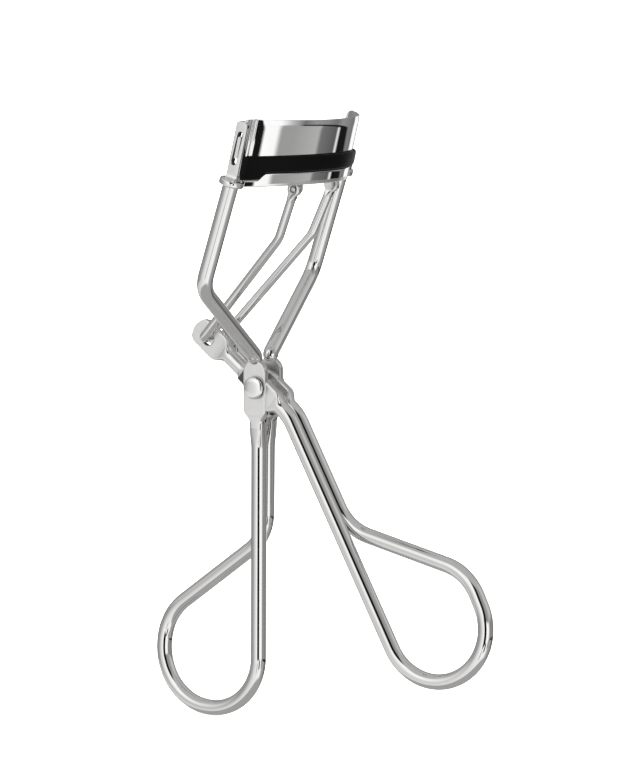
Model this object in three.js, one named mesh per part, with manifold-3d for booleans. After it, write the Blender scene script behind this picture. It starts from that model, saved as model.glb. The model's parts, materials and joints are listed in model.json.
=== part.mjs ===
// A bent-wire eyelash curler with its jaws closed.
//
// Millimetres, drawn about the centre of the pivot: X runs along the pivot rivet, +Z runs up the
// fixed legs towards the jaws, and -Y points to the convex front of the jaws.
// "side" is -1 for the half at -X and +1 for the half at +X.

import * as THREE from 'three';
import { mergeVertices } from 'three/addons/utils/BufferGeometryUtils.js';
import Module from 'manifold-3d';

const wasm = await Module();
wasm.setup();

// ---------------------------------------------------------------- driving dimensions

const WIRE = 2.8; // diameter of the wire of both handles
const ROD = 1.6; // diameter of the push rod
const SEAT = 0.1; // gap between pieces that are fixed to each other
const RUNNING = 0.3; // gap between pieces that turn or slide on each other
const SIDES = [-1, 1];

// Flattened parts around the pivot: the frame's pair outside, the moving handle's pair between them.
const PLATE = { inner: 1.95, thickness: 1.2, width: 4.6, y: 0.2, top: 4.9, bottom: -5.9 };
const BLADE = { thickness: 1.75, width: 4.6, half: 5.2 };
const RIVET = { shank: 2.3, head: 4, rim: 0.27, dome: 0.8 };

// The posts of the frame, from the top of the pivot plates to their slotted tops.
const POST = {
  x: 18.3,
  foot: { x: 2.6, y: 0.3, z: 5.6, radius: 1.5 },
  shoulder: { y: 1.1, z: 18.8, radius: 5 },
  lean: THREE.MathUtils.degToRad(18),
};
const GUIDE = {
  width: 2.25,
  thickness: 1.2,
  corner: 0.5,
  bottom: 37.6,
  top: 48,
  lean: THREE.MathUtils.degToRad(13.8),
};
const SLOT = { width: 0.9, bottom: 40.5, top: 46.1 };

// Both handles are drawn in their own plane: "along" the leg from the pivot, and "out" from the leg.
const FIXED_LOOP = { fork: 27.4, slope: 0.763, reach: 59.2, width: 21.2, shoulderRadius: 10, forkRadius: 9 };
const MOVING_LOOP = { fork: 29.3, slope: 0.86, reach: 61.3, width: 19, shoulderRadius: 9.5, forkRadius: 9 };
const FIXED_LEG_Y = 0.5;
const MOVING_LEG = { angle: THREE.MathUtils.degToRad(28.1), offset: 3.06, bendRadius: 8 };
const LEVER_ANGLE = THREE.MathUtils.degToRad(38.5);
const EYE = { distance: 13.1, width: 5, inner: 1.4, thickness: 1.2, hole: 2.9, root: 9.6, end: 14 };

// The jaws are arcs about one axis, which leans as the slotted tops do. Angles are in degrees
// from the middle of the jaw, and "fold" is the radius by which a sheet turns outward at its end.
const UPPER = { radius: 20.5, sheet: 0.7, bottom: 41.8, top: 48, angle: 53.4, fold: 1, tabBottom: 41.9, tabTop: 45.1 };
const LOWER = { radius: 20.6, inner: 17.6, sheet: 0.6, bottom: 36.4, top: 38.8, floor: 37.2, angle: 52, fold: 0.8 };
const NOTCH = { angle: 43.5, top: 37.6 };
const RING = { outer: 4.4, z: 37.2, height: 1.5 };
const PAD = { inner: 18.3, outer: 21.2, angle: 52, footAngle: 49, footOuter: 19.9, top: 41.5 };

// The push rod hangs on a small lug at each side of the lower jaw.
const LUG = { x: 6.3, y: -10.2, z: 35.7, pin: 0.8, sheet: 0.6, width: 1.6 };
const EYELET = { diameter: 2.6, hole: 1.3, thickness: 1.2 };
const ROD_BEND = { x: 5.5, y: -6.45, z: 26.8, radius: 5 };
const CROSS_BAR = { x: 3.75, y: 10.6, z: 8.2, radius: 1 };

const ROUND_SEGMENTS = 6; // half the number of flats around a wire
const TURNED_SEGMENTS = 24; // flats around the rivet and the end rings
const BEND_STEP = THREE.MathUtils.degToRad(12);
const ARC_STEPS = 12;
const FOLD_STEPS = 4;
const DOME_STEPS = 4;
const OVERLAP = 0.6; // how deep a joined piece of the same wire starts inside its neighbour
const OVERCUT = { angle: 2, height: 1 }; // how far a cut runs on past the solid that it opens

// ---------------------------------------------------------------- materials

const steel = (roughness) => new THREE.MeshStandardMaterial({ color: 0xc9c8c6, roughness, metalness: 1 });
const platedWire = steel(0.12);
const platedSheet = steel(0.06);
const rivetSteel = steel(0.2);
const padRubber = new THREE.MeshStandardMaterial({ color: 0x0b0b0c, roughness: 0.35, metalness: 0 });

// ---------------------------------------------------------------- solids

function solid(geometry) {
  const bare = geometry.clone();
  bare.deleteAttribute('normal');
  bare.deleteAttribute('uv');
  const merged = mergeVertices(bare);
  return new wasm.Manifold(
    new wasm.Mesh({
      numProp: 3,
      vertProperties: new Float32Array(merged.attributes.position.array),
      triVerts: new Uint32Array(merged.index.array),
    }),
  );
}

function geometryOf(manifold) {
  const mesh = manifold.getMesh();
  const geometry = new THREE.BufferGeometry();
  geometry.setAttribute('position', new THREE.BufferAttribute(mesh.vertProperties, 3));
  geometry.setIndex(new THREE.BufferAttribute(mesh.triVerts, 1));
  const faceted = geometry.toNonIndexed();
  faceted.computeVertexNormals();
  return faceted;
}

function carve(added, removed = []) {
  let body = solid(added[0]);
  for (const geometry of added.slice(1)) body = body.add(solid(geometry));
  for (const geometry of removed) body = body.subtract(solid(geometry));
  return geometryOf(body);
}

// ---------------------------------------------------------------- wires

const at = (x, y, z, radius = 0) => ({ point: new THREE.Vector3(x, y, z), radius });

class Bend extends THREE.Curve {
  constructor(before, corner, after, radius) {
    super();
    const arriving = corner.clone().sub(before).normalize();
    const leaving = after.clone().sub(corner).normalize();
    this.turn = arriving.angleTo(leaving);
    this.radius = radius;
    const setback = radius * Math.tan(this.turn / 2);
    this.start = corner.clone().addScaledVector(arriving, -setback);
    this.end = corner.clone().addScaledVector(leaving, setback);
    this.forward = arriving;
    this.inward = leaving.clone().addScaledVector(arriving, -leaving.dot(arriving)).normalize();
  }

  getPoint(t) {
    const angle = this.turn * t;
    return this.start
      .clone()
      .addScaledVector(this.forward, this.radius * Math.sin(angle))
      .addScaledVector(this.inward, this.radius * (1 - Math.cos(angle)));
  }
}

// A path of straight runs and round bends. A straight run takes one step and a bend takes several,
// so equal steps of the parameter, not of the length, are what the extrusion walks along.
class BentPath extends THREE.Curve {
  constructor(corners) {
    super();
    this.pieces = [];
    let last = corners[0].point;
    for (let i = 1; i < corners.length - 1; i++) {
      const bend = new Bend(corners[i - 1].point, corners[i].point, corners[i + 1].point, corners[i].radius);
      this.addPiece(new THREE.LineCurve3(last, bend.start), 1);
      this.addPiece(bend, Math.ceil(bend.turn / BEND_STEP));
      last = bend.end;
    }
    this.addPiece(new THREE.LineCurve3(last, corners.at(-1).point), 1);
    this.steps = this.pieces.reduce((sum, piece) => sum + piece.steps, 0);
  }

  addPiece(curve, steps) {
    this.pieces.push({ curve, steps });
  }

  getPoint(t) {
    let step = t * this.steps;
    for (const piece of this.pieces) {
      if (step <= piece.steps || piece === this.pieces.at(-1)) return piece.curve.getPoint(step / piece.steps);
      step -= piece.steps;
    }
  }

  getUtoTmapping(u) {
    return u;
  }
}

function wire(corners, diameter) {
  const section = new THREE.Shape().absarc(0, 0, diameter / 2, 0, 2 * Math.PI);
  const path = new BentPath(corners);
  return new THREE.ExtrudeGeometry(section, {
    steps: path.steps,
    extrudePath: path,
    curveSegments: ROUND_SEGMENTS,
  });
}

// ---------------------------------------------------------------- flat parts in planes across X

// Turns an extrusion drawn in x and y into one drawn in Y and Z whose depth runs along +X.
function acrossX(shape, from, to) {
  const geometry = new THREE.ExtrudeGeometry(shape, {
    depth: to - from,
    bevelEnabled: false,
    curveSegments: ROUND_SEGMENTS,
  });
  const x = new THREE.Vector3(1, 0, 0);
  const y = new THREE.Vector3(0, 1, 0);
  const z = new THREE.Vector3(0, 0, 1);
  geometry.applyMatrix4(new THREE.Matrix4().makeBasis(y, z, x));
  return geometry.translate(from, 0, 0);
}

// The same, placed on one side: "inner" and "outer" are distances from the middle plane.
function onSide(shape, side, inner, outer) {
  return acrossX(shape, Math.min(side * inner, side * outer), Math.max(side * inner, side * outer));
}

// A strap of even width with round ends, between two points of the Y-Z plane.
function strap(start, end, width) {
  const heading = Math.atan2(end.y - start.y, end.x - start.x);
  const quarter = Math.PI / 2;
  return new THREE.Shape()
    .absarc(end.x, end.y, width / 2, heading - quarter, heading + quarter)
    .absarc(start.x, start.y, width / 2, heading + quarter, heading + 3 * quarter);
}

const disc = (centre, diameter) => new THREE.Shape().absarc(centre.x, centre.y, diameter / 2, 0, 2 * Math.PI);

const ray = (distance, angle) => new THREE.Vector2(distance * Math.cos(angle), distance * Math.sin(angle));

// ---------------------------------------------------------------- frame

const postY = (z) => POST.shoulder.y - (z - POST.shoulder.z) * Math.tan(POST.lean);
const guideY = (z) => postY(GUIDE.bottom) - (z - GUIDE.bottom) * Math.tan(GUIDE.lean);

function post(side) {
  const { foot, shoulder } = POST;
  const wireTop = GUIDE.bottom + OVERLAP;
  return wire(
    [
      at(side * foot.x, foot.y, PLATE.top - OVERLAP),
      at(side * foot.x, foot.y, foot.z, foot.radius),
      at(side * POST.x, shoulder.y, shoulder.z, shoulder.radius),
      at(side * POST.x, postY(wireTop), wireTop),
    ],
    WIRE,
  );
}

// The squared top of a post, drawn upright and then leaned.
function guide(side) {
  const half = GUIDE.width / 2;
  const length = (GUIDE.top - GUIDE.bottom) / Math.cos(GUIDE.lean);
  const outline = new THREE.Shape()
    .moveTo(-half, 0)
    .lineTo(half, 0)
    .lineTo(half, length - GUIDE.corner)
    .absarc(half - GUIDE.corner, length - GUIDE.corner, GUIDE.corner, 0, Math.PI / 2)
    .absarc(GUIDE.corner - half, length - GUIDE.corner, GUIDE.corner, Math.PI / 2, Math.PI);
  return onSide(outline, side, POST.x - GUIDE.thickness / 2, POST.x + GUIDE.thickness / 2)
    .rotateX(GUIDE.lean)
    .translate(0, guideY(GUIDE.bottom), GUIDE.bottom);
}

function slotCut(side) {
  const start = new THREE.Vector2(guideY(SLOT.bottom), SLOT.bottom + SLOT.width / 2);
  const end = new THREE.Vector2(guideY(SLOT.top), SLOT.top - SLOT.width / 2);
  return onSide(strap(start, end, SLOT.width), side, POST.x - GUIDE.thickness, POST.x + GUIDE.thickness);
}

function pivotPlate(side) {
  const half = PLATE.width / 2;
  const outline = strap(
    new THREE.Vector2(PLATE.y, PLATE.bottom + half),
    new THREE.Vector2(PLATE.y, PLATE.top - half),
    PLATE.width,
  );
  return onSide(outline, side, PLATE.inner, PLATE.inner + PLATE.thickness);
}

function rivetHole() {
  const reach = 2 * (PLATE.inner + PLATE.thickness);
  return acrossX(disc(new THREE.Vector2(), RIVET.shank + 2 * SEAT), -reach, reach);
}

// The corners of a handle's two legs and finger loop. "place" turns (x, along, out, radius) of the
// handle's own plane into a corner. The leg at -X runs straight into the loop, and the leg at +X
// forks off it.
function legsAndLoop(loop, top, place) {
  const legX = WIRE / 2 + SEAT / 2;
  const shoulder = loop.fork + loop.slope * loop.width;
  const endRadius = loop.width / 2 - SEAT;
  return [
    top(-1, -legX),
    place(-legX, loop.reach, 0, endRadius),
    place(-legX / 2, loop.reach, loop.width, endRadius),
    place(legX / 2, shoulder, loop.width, loop.shoulderRadius),
    place(legX, loop.fork, 0, loop.forkRadius),
    top(1, legX),
  ].flat();
}

function frameLegs() {
  const place = (x, along, out, radius) => at(x, FIXED_LEG_Y + out, -along, radius);
  const top = (side, x) => at(x, FIXED_LEG_Y, PLATE.bottom + OVERLAP);
  return wire(legsAndLoop(FIXED_LOOP, top, place), WIRE);
}

function frameWire() {
  return carve(
    [frameLegs(), ...SIDES.map(pivotPlate), ...SIDES.map(post), ...SIDES.map(guide)],
    [rivetHole(), ...SIDES.map(slotCut)],
  );
}

// ---------------------------------------------------------------- moving handle

function movingLegs() {
  const down = new THREE.Vector2(-Math.sin(MOVING_LEG.angle), -Math.cos(MOVING_LEG.angle));
  const out = new THREE.Vector2(-Math.cos(MOVING_LEG.angle), Math.sin(MOVING_LEG.angle));
  const foot = out.clone().multiplyScalar(MOVING_LEG.offset);
  const place = (x, along, outward, radius) => {
    const point = foot.clone().addScaledVector(down, along).addScaledVector(out, outward);
    return at(x, point.x, point.y, radius);
  };
  // The blade's line from the pivot meets the line of the legs here.
  const kneeDistance = MOVING_LEG.offset / ray(1, LEVER_ANGLE + Math.PI).dot(out);
  const knee = ray(-kneeDistance, LEVER_ANGLE);
  const start = ray(OVERLAP - BLADE.half, LEVER_ANGLE);
  const top = (side, x) => {
    const ends = [at(x, start.x, start.y), at(x, knee.x, knee.y, MOVING_LEG.bendRadius)];
    return side < 0 ? ends : ends.reverse();
  };
  return wire(legsAndLoop(MOVING_LOOP, top, place), WIRE);
}

function blade(side) {
  const outline = strap(
    ray(-BLADE.half + BLADE.width / 2, LEVER_ANGLE),
    ray(BLADE.half - BLADE.width / 2, LEVER_ANGLE),
    BLADE.width,
  );
  return onSide(outline, side, 0, BLADE.thickness);
}

function leverArm(side) {
  const x = side * (WIRE / 2 + SEAT / 2);
  const start = ray(BLADE.half - OVERLAP, LEVER_ANGLE);
  const end = ray(EYE.root, LEVER_ANGLE);
  return wire([at(x, start.x, start.y), at(x, end.x, end.y)], WIRE);
}

function eyePlate(side) {
  const outline = strap(ray(EYE.root, LEVER_ANGLE), ray(EYE.end, LEVER_ANGLE), EYE.width);
  return onSide(outline, side, EYE.inner, EYE.inner + EYE.thickness);
}

function eyeHoles() {
  const reach = 2 * (EYE.inner + EYE.thickness);
  return acrossX(disc(ray(EYE.distance, LEVER_ANGLE), EYE.hole), -reach, reach);
}

function turningHole() {
  return acrossX(disc(new THREE.Vector2(), RIVET.shank + 2 * RUNNING), -PLATE.inner, PLATE.inner);
}

function movingHandle() {
  return carve(
    [movingLegs(), ...SIDES.map(blade), ...SIDES.map(leverArm), ...SIDES.map(eyePlate)],
    [turningHole(), eyeHoles()],
  );
}

// ---------------------------------------------------------------- rivet

function pivotRivet() {
  const faceX = PLATE.inner + PLATE.thickness + SEAT;
  const shank = RIVET.shank / 2;
  const head = RIVET.head / 2;
  const half = [new THREE.Vector2(shank, faceX), new THREE.Vector2(head, faceX)];
  for (let i = 0; i <= DOME_STEPS; i++) {
    const angle = (i / DOME_STEPS) * (Math.PI / 2);
    const height = faceX + RIVET.rim + (RIVET.dome - RIVET.rim) * Math.sin(angle);
    half.push(new THREE.Vector2(i === DOME_STEPS ? 0 : head * Math.cos(angle), height));
  }
  const mirrored = half.toReversed().map((point) => new THREE.Vector2(point.x, -point.y));
  const profile = [...mirrored, ...half];
  return geometryOf(solid(new THREE.LatheGeometry(profile, TURNED_SEGMENTS).rotateZ(-Math.PI / 2)));
}

// ---------------------------------------------------------------- jaws

// The jaw axis stands where it brings the folded tabs of the upper plate into the slots.
function jawAxisY(z) {
  const limit = THREE.MathUtils.degToRad(UPPER.angle);
  const tabY = UPPER.fold - (UPPER.radius - UPPER.sheet / 2 + UPPER.fold) * Math.cos(limit);
  return guideY(z) - tabY;
}

// The centreline of a jaw sheet about the jaw axis. With a fold it turns outward at each end and
// runs on to "endX".
function jawLine(radius, degrees, fold = 0, endX = 0) {
  const limit = THREE.MathUtils.degToRad(degrees);
  const half = [];
  for (let i = 0; i <= ARC_STEPS; i++) {
    const angle = (limit * i) / ARC_STEPS;
    half.push(new THREE.Vector2(radius * Math.sin(angle), -radius * Math.cos(angle)));
  }
  if (fold) {
    const centre = ray(radius + fold, limit - Math.PI / 2);
    for (let i = 1; i <= FOLD_STEPS; i++) {
      half.push(centre.clone().add(ray(fold, Math.PI / 2 + limit * (1 - i / FOLD_STEPS))));
    }
    half.push(new THREE.Vector2(endX, half.at(-1).y));
  }
  const mirrored = half.slice(1).reverse().map((point) => new THREE.Vector2(-point.x, point.y));
  return [...mirrored, ...half];
}

// A band of even thickness along a line, standing from "bottom" to "top" and leaning with the jaws.
function jawBand(line, thickness, bottom, top) {
  const offset = (i, distance) => {
    const before = line[Math.max(i - 1, 0)];
    const after = line[Math.min(i + 1, line.length - 1)];
    const normal = new THREE.Vector2(before.y - after.y, after.x - before.x).normalize();
    return line[i].clone().addScaledVector(normal, distance);
  };
  const indices = line.map((_, i) => i);
  const outline = [
    ...indices.map((i) => offset(i, -thickness / 2)),
    ...indices.reverse().map((i) => offset(i, thickness / 2)),
  ];
  const geometry = new THREE.ExtrudeGeometry(new THREE.Shape(outline), {
    depth: top - bottom,
    bevelEnabled: false,
  });
  const lean = new THREE.Matrix4().makeShear(0, 0, 0, 0, 0, -Math.tan(GUIDE.lean));
  return geometry.applyMatrix4(lean).translate(0, jawAxisY(bottom), bottom);
}

// A band between two radii.
const arcBand = (inner, outer, degrees, bottom, top) =>
  jawBand(jawLine((inner + outer) / 2, degrees), outer - inner, bottom, top);

function upperJawPlate() {
  const middle = UPPER.radius - UPPER.sheet / 2;
  const guideInner = POST.x - GUIDE.thickness / 2;
  const tabLine = jawLine(middle, UPPER.angle, UPPER.fold, POST.x + GUIDE.thickness / 2);
  const plateLine = jawLine(middle, UPPER.angle, UPPER.fold, guideInner - SEAT);
  return carve([
    jawBand(plateLine, UPPER.sheet, UPPER.bottom, UPPER.top),
    jawBand(tabLine, UPPER.sheet, UPPER.tabBottom, UPPER.tabTop),
  ]);
}

function ringCylinder(side, diameter, height) {
  return new THREE.CylinderGeometry(diameter / 2, diameter / 2, height, TURNED_SEGMENTS)
    .rotateX(Math.PI / 2 + POST.lean)
    .translate(side * POST.x, postY(RING.z), RING.z);
}

// A lug is a cheek that hangs under the channel with a stub pin that points outward.
function lug(side) {
  const hinge = new THREE.Vector2(LUG.y, LUG.z);
  const channel = new THREE.Vector2(LUG.y, LOWER.floor + LOWER.sheet / 2);
  const cheekOuter = LUG.x - EYELET.thickness / 2 - RUNNING;
  const cheek = onSide(strap(hinge, channel, LUG.width), side, cheekOuter - LUG.sheet, cheekOuter);
  const pin = onSide(disc(hinge, LUG.pin), side, cheekOuter - LUG.sheet, LUG.x + EYELET.thickness / 2 + SEAT);
  return [cheek, pin];
}

function lowerJaw() {
  const { radius, inner, sheet, bottom, top, floor, angle, fold } = LOWER;
  const bore = WIRE + 2 * RUNNING;
  const boreHeight = RING.height + 2 * OVERCUT.height;
  const lowLine = jawLine(radius - sheet / 2, UPPER.angle, fold, POST.x);
  const channelInside = arcBand(
    inner + sheet,
    radius - sheet,
    angle + OVERCUT.angle,
    floor + sheet,
    top + OVERCUT.height,
  );
  return carve(
    [
      jawBand(lowLine, sheet, bottom, NOTCH.top),
      arcBand(radius - sheet, radius, NOTCH.angle, bottom, top),
      arcBand(inner, radius - sheet / 2, angle, floor, floor + sheet),
      arcBand(inner, inner + sheet, angle, floor, top),
      ...SIDES.map((side) => ringCylinder(side, RING.outer, RING.height)),
      ...SIDES.flatMap(lug),
    ],
    [channelInside, ...SIDES.map((side) => ringCylinder(side, bore, boreHeight))],
  );
}

function lashPad() {
  const { inner, outer, footOuter, angle, footAngle, top } = PAD;
  const footBottom = LOWER.floor + LOWER.sheet + SEAT;
  const headBottom = LOWER.top + SEAT;
  return carve([
    arcBand(inner, footOuter, footAngle, footBottom, headBottom + OVERLAP),
    arcBand(inner, outer, angle, headBottom, top),
  ]);
}

// ---------------------------------------------------------------- push rod

function eyelet(side) {
  return onSide(
    disc(new THREE.Vector2(LUG.y, LUG.z), EYELET.diameter),
    side,
    LUG.x - EYELET.thickness / 2,
    LUG.x + EYELET.thickness / 2,
  );
}

function eyeletHole(side) {
  return onSide(
    disc(new THREE.Vector2(LUG.y, LUG.z), EYELET.hole),
    side,
    LUG.x - EYELET.thickness,
    LUG.x + EYELET.thickness,
  );
}

function pushRod() {
  const half = (side) => {
    const hinge = new THREE.Vector3(side * LUG.x, LUG.y, LUG.z);
    const bend = new THREE.Vector3(side * ROD_BEND.x, ROD_BEND.y, ROD_BEND.z);
    const rimMiddle = (EYELET.hole + EYELET.diameter) / 4;
    const start = hinge.addScaledVector(bend.clone().sub(hinge).normalize(), rimMiddle);
    return [
      at(start.x, start.y, start.z),
      at(bend.x, bend.y, bend.z, ROD_BEND.radius),
      at(side * CROSS_BAR.x, CROSS_BAR.y, CROSS_BAR.z, CROSS_BAR.radius),
    ];
  };
  const rod = wire([...half(-1), ...half(1).reverse()], ROD);
  return carve([rod, ...SIDES.map(eyelet)], SIDES.map(eyeletHole));
}

// ---------------------------------------------------------------- assembly

function piece(name, geometry, material) {
  const mesh = new THREE.Mesh(geometry, material);
  mesh.name = name;
  return mesh;
}

const fixedHandle = new THREE.Group();
fixedHandle.add(piece('frame_wire', frameWire(), platedWire));
fixedHandle.add(piece('pivot_rivet', pivotRivet(), rivetSteel));
fixedHandle.add(piece('upper_jaw_plate', upperJawPlate(), platedSheet));

const slidingJaw = new THREE.Group();
slidingJaw.add(piece('lower_jaw', lowerJaw(), platedSheet));
slidingJaw.add(piece('lash_pad', lashPad(), padRubber));

const group = new THREE.Group();
group.add(fixedHandle);
group.add(slidingJaw);
group.add(piece('moving_handle', movingHandle(), platedWire));
group.add(piece('push_rod', pushRod(), platedWire));

// Everything above is drawn about the pivot. The finished part has its origin at the middle of its box.
const box = new THREE.Box3().setFromObject(group);
group.position.copy(box.getCenter(new THREE.Vector3())).negate();

export default group;
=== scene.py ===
"""A bent-wire eyelash curler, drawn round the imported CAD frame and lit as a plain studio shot.

Shapes are drawn in millimetres about the pivot, with X along the rivet, +Z up the fixed legs and -Y
to the convex front of the jaws. Each finished mesh is then scaled to metres and moved to the pivot's
place in the frame. "side" is -1 for the half at -X and +1 for the half at +X.
"""

import json
import math
from collections import namedtuple

import bmesh
import bpy
from mathutils import Matrix, Vector


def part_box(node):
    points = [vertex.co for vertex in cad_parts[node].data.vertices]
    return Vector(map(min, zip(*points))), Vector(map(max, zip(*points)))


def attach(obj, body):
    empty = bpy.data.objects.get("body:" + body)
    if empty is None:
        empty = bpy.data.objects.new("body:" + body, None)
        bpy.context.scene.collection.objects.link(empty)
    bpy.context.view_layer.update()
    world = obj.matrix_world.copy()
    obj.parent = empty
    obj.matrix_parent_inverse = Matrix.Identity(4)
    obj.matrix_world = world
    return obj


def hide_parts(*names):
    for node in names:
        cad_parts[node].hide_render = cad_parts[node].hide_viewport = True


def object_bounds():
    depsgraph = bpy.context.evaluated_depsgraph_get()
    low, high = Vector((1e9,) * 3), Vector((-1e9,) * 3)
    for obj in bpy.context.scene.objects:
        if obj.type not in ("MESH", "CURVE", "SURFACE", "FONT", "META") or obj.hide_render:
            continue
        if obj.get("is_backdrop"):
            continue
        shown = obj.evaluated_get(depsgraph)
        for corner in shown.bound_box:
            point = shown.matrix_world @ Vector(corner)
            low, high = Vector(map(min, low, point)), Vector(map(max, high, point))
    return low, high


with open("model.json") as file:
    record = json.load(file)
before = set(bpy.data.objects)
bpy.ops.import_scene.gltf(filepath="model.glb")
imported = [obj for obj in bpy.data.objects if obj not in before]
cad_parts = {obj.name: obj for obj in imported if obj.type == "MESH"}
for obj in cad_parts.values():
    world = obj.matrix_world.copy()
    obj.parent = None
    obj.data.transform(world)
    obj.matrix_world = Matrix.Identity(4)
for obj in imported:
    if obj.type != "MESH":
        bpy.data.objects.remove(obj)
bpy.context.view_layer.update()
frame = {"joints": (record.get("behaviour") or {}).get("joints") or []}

MM = 0.001
SIDES = (-1, 1)

# ---------------------------------------------------------------- places taken from the frame

JOINTS = {joint["name"]: joint for joint in frame["joints"]}
PIVOT = Vector(JOINTS["handle_swing"]["pos_m"])


def from_pivot(point):
    """A point of the frame in millimetres about the pivot."""
    return (Vector(point) - PIVOT) / MM


def node_box(node):
    """The low and the high corner of a node's box, in millimetres about the pivot."""
    low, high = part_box(node)
    return from_pivot(low), from_pivot(high)


ROD_HINGE = from_pivot(JOINTS["push_rod_swing"]["pos_m"])
FRAME_LOW, _ = node_box("frame_wire")
PLATE_LOW, PLATE_HIGH = node_box("upper_jaw_plate")
_, JAW_HIGH = node_box("lower_jaw")
RIVET_LOW, RIVET_HIGH = node_box("pivot_rivet")

# ---------------------------------------------------------------- driving dimensions, millimetres

WIRE = 2.8
ROD = 1.6
LEG_X = 1.45  # from the middle plane to each leg of a handle
LEG_Y = 0.5
SEAT = 0.1  # running gap between parts that fit together
HAIR = 0.02  # too thin to see, keeps two faces from lying in one plane

# The end rings of the lower jaw, and the posts they slide on.
RING = {"bore": 3.4, "wall": 0.5, "z": 37.45, "height": 1.1}
POST_X = JAW_HIGH.x - RING["bore"] / 2 - RING["wall"]
POST_LEAN = math.radians(18)
POST_SHOULDER = {"y": 1.1, "z": 18.8, "radius": 5}
POST_FOOT = {"x": 2.6, "y": 0.3, "z": 5.6, "radius": 1.5, "start": 4.0}

# The flattened, slotted top of each post. The pressing begins at "start" and is complete at "full", and
# the wire changes its lean at "bottom". "square" says how boxy a section is: 2 is round and 14 is nearly
# a rectangle.
GUIDE = {
    "thickness": 1.2,
    "width": 2.25,
    "square": 11,
    "start": 37.3,
    "bottom": 37.6,
    "full": 38.7,
    "top": 47.9,
    "corner": 0.55,
    "bend": 4,
}
GUIDE_LEAN = math.radians(13.8)
SLOT = {"width": 0.9, "bottom": 40.5, "top": 46.1, "flare": 0.1}

# The flattened plate at the top of each fixed leg, and the neck below it.
PIVOT_PLATE = {
    "x": 2.55,
    "y": 0.2,
    "thickness": 1.2,
    "width": 4.6,
    "square": 14,
    "top": 4.9,
    "wide_low": -4.1,
    "neck": -6.2,
    "bend": 6,
}
NECK = {"thickness": 2.2, "square": 4, "shift": 0.35, "length": 5}
RIVET = {
    "shank": 2.3,
    "head": RIVET_HIGH.y - RIVET_LOW.y,
    "rim": 0.55,
    "edge": 0.12,
    "crown": RIVET_HIGH.x + 0.2,
    "fullness": 0.8,
}

# Finger loops, measured down each leg: the legs part at the fork and the wire turns back at the reach.
# The slope is how far the shoulder of the loop lies below the fork, for each unit of the loop's width.
FIXED_LOOP = {
    "fork": 27.4,
    "slope": 0.763,
    "reach": -FRAME_LOW.z - WIRE / 2,
    "width": 21.2,
    "shoulder": 10,
    "fork_radius": 9,
}
MOVING_LOOP = {"fork": 29.3, "slope": 0.86, "reach": 61.3, "width": 19, "shoulder": 9.5, "fork_radius": 9}
MOVING_LEG = {"angle": math.radians(28.1), "offset": 3.06, "bend": 8}
LEVER_ANGLE = math.radians(38.5)

# The lever, by distance from the pivot. The flat blade turns into the round leg on the negative side and
# steps up to the round arm on the positive side. The eye is at the far end of the arm.
BLADE = {
    "thickness": 1.7,
    "width": 4.4,
    "square": 10,
    "taper": 0.75,
    "taper_from": 0.5,
    "taper_to": 2.8,
    "arm_from": 3.6,
    "arm_to": 4.4,
    "leg_from": -3.6,
    "leg_to": -5.6,
    "satin_from": -4.1,
    "satin_to": 1.6,
    # Painted shade lies on the step up to the arm, between shade_from and shade_to.
    "shade_from": 1.5,
    "shade_to": 4.0,
}
EYE = {
    "x": 2.0,
    "distance": 13.1,
    "hole": 2.6,
    "flare": 0.12,
    "shoulder_from": 8.2,
    "shoulder_to": 10.4,
    "satin_from": 9.5,
    "end": 16.5,
    "width": 5,
    "thickness": 1.2,
    "square": 14,
    "corner": 1.9,
}

# Both jaws are arcs about one leaning axis. Their angles are in degrees from the middle of the front.
UPPER = {"radius": 20.5, "sheet": 0.7, "edge": 0.06, "bottom": PLATE_LOW.z, "angle": 50.4, "fold": 3.3}
UPPER_TOP = {"middle": PLATE_HIGH.z - 0.2, "rise": 0.42}
CURL = {"height": 1.6, "depth": 0.18, "fade_from": 42, "fade_to": 49}
CRIMP = {"depth": 0.035, "waves": 4, "start": 0.12}
TAB = {"bottom": 41.6, "top": 45.3, "relief": 0.06, "edge": 0.15, "inset": 0.05}
LOWER = {
    "radius": 20.6,
    "inner": 17.6,
    "sheet": 0.6,
    "edge": 0.16,
    "bottom": 36.4,
    "arch": 0.2,
    "floor": 37.2,
    "top": 38.8,
    "angle": 52,
}
STRIP_END = {"angle": 53.4, "fold": 0.8}
NOTCH = {"start": 41.5, "end": 45.7, "top": 37.6}
PAD = {
    "inner": 18.3,
    "outer": 21.2,
    "foot_outer": 19.9,
    "half_length": 16.75,
    "slant": 3.6,
    "top_gap": 0.03,
}

# The push rod turns on stub pins in the lugs, bends once and crosses over between the lever's eyes.
LUG = {"x": 6.3, "sheet": 0.6, "width": 1.6, "gap": 0.3, "pin": 0.8, "pin_out": 0.1, "chamfer": 0.15}
EYELET = {"diameter": 2.6, "hole": 1.3, "flare": 0.1, "thickness": 1.2, "square": 6}
ROD_BEND = Vector((5.5, -6.45, 26.8))
ROD_BEND_RADIUS = 5
CROSS_BAR = Vector((3.75, 10.6, 8.2))
CROSS_BAR_RADIUS = 1

AROUND = 32  # points round a wire
AROUND_FINE = 64  # points round a hole or an end ring
CORNER_STEPS = 4  # steps round each corner of a rounded rectangle
STEP = 0.4  # length between the rings of a swept wire
SHARP = math.radians(32)  # edges steeper than this stay crisp
PRESSED_FACE = 0.985  # a face turned this squarely to X was pressed flat
PLATED, SATIN, SHADED = range(3)  # places in a wire's list of materials; SHADED is the painted shade

X_AXIS = Vector((1, 0, 0))
Y_AXIS = Vector((0, 1, 0))
Z_AXIS = Vector((0, 0, 1))

# ---------------------------------------------------------------- skins

# A wire's section: half its thickness, half its width, how boxy it is, and how far it sits outward.
Section = namedtuple("Section", "thick wide square shift")
ROUND = Section(WIRE / 2, WIRE / 2, 2, 0)


def ease(value, low, high):
    """0 up to low, 1 from high, and a smooth step between them. Low may be the larger of the two."""
    share = min(max((value - low) / (high - low), 0), 1)
    return share * share * (3 - 2 * share)


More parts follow.
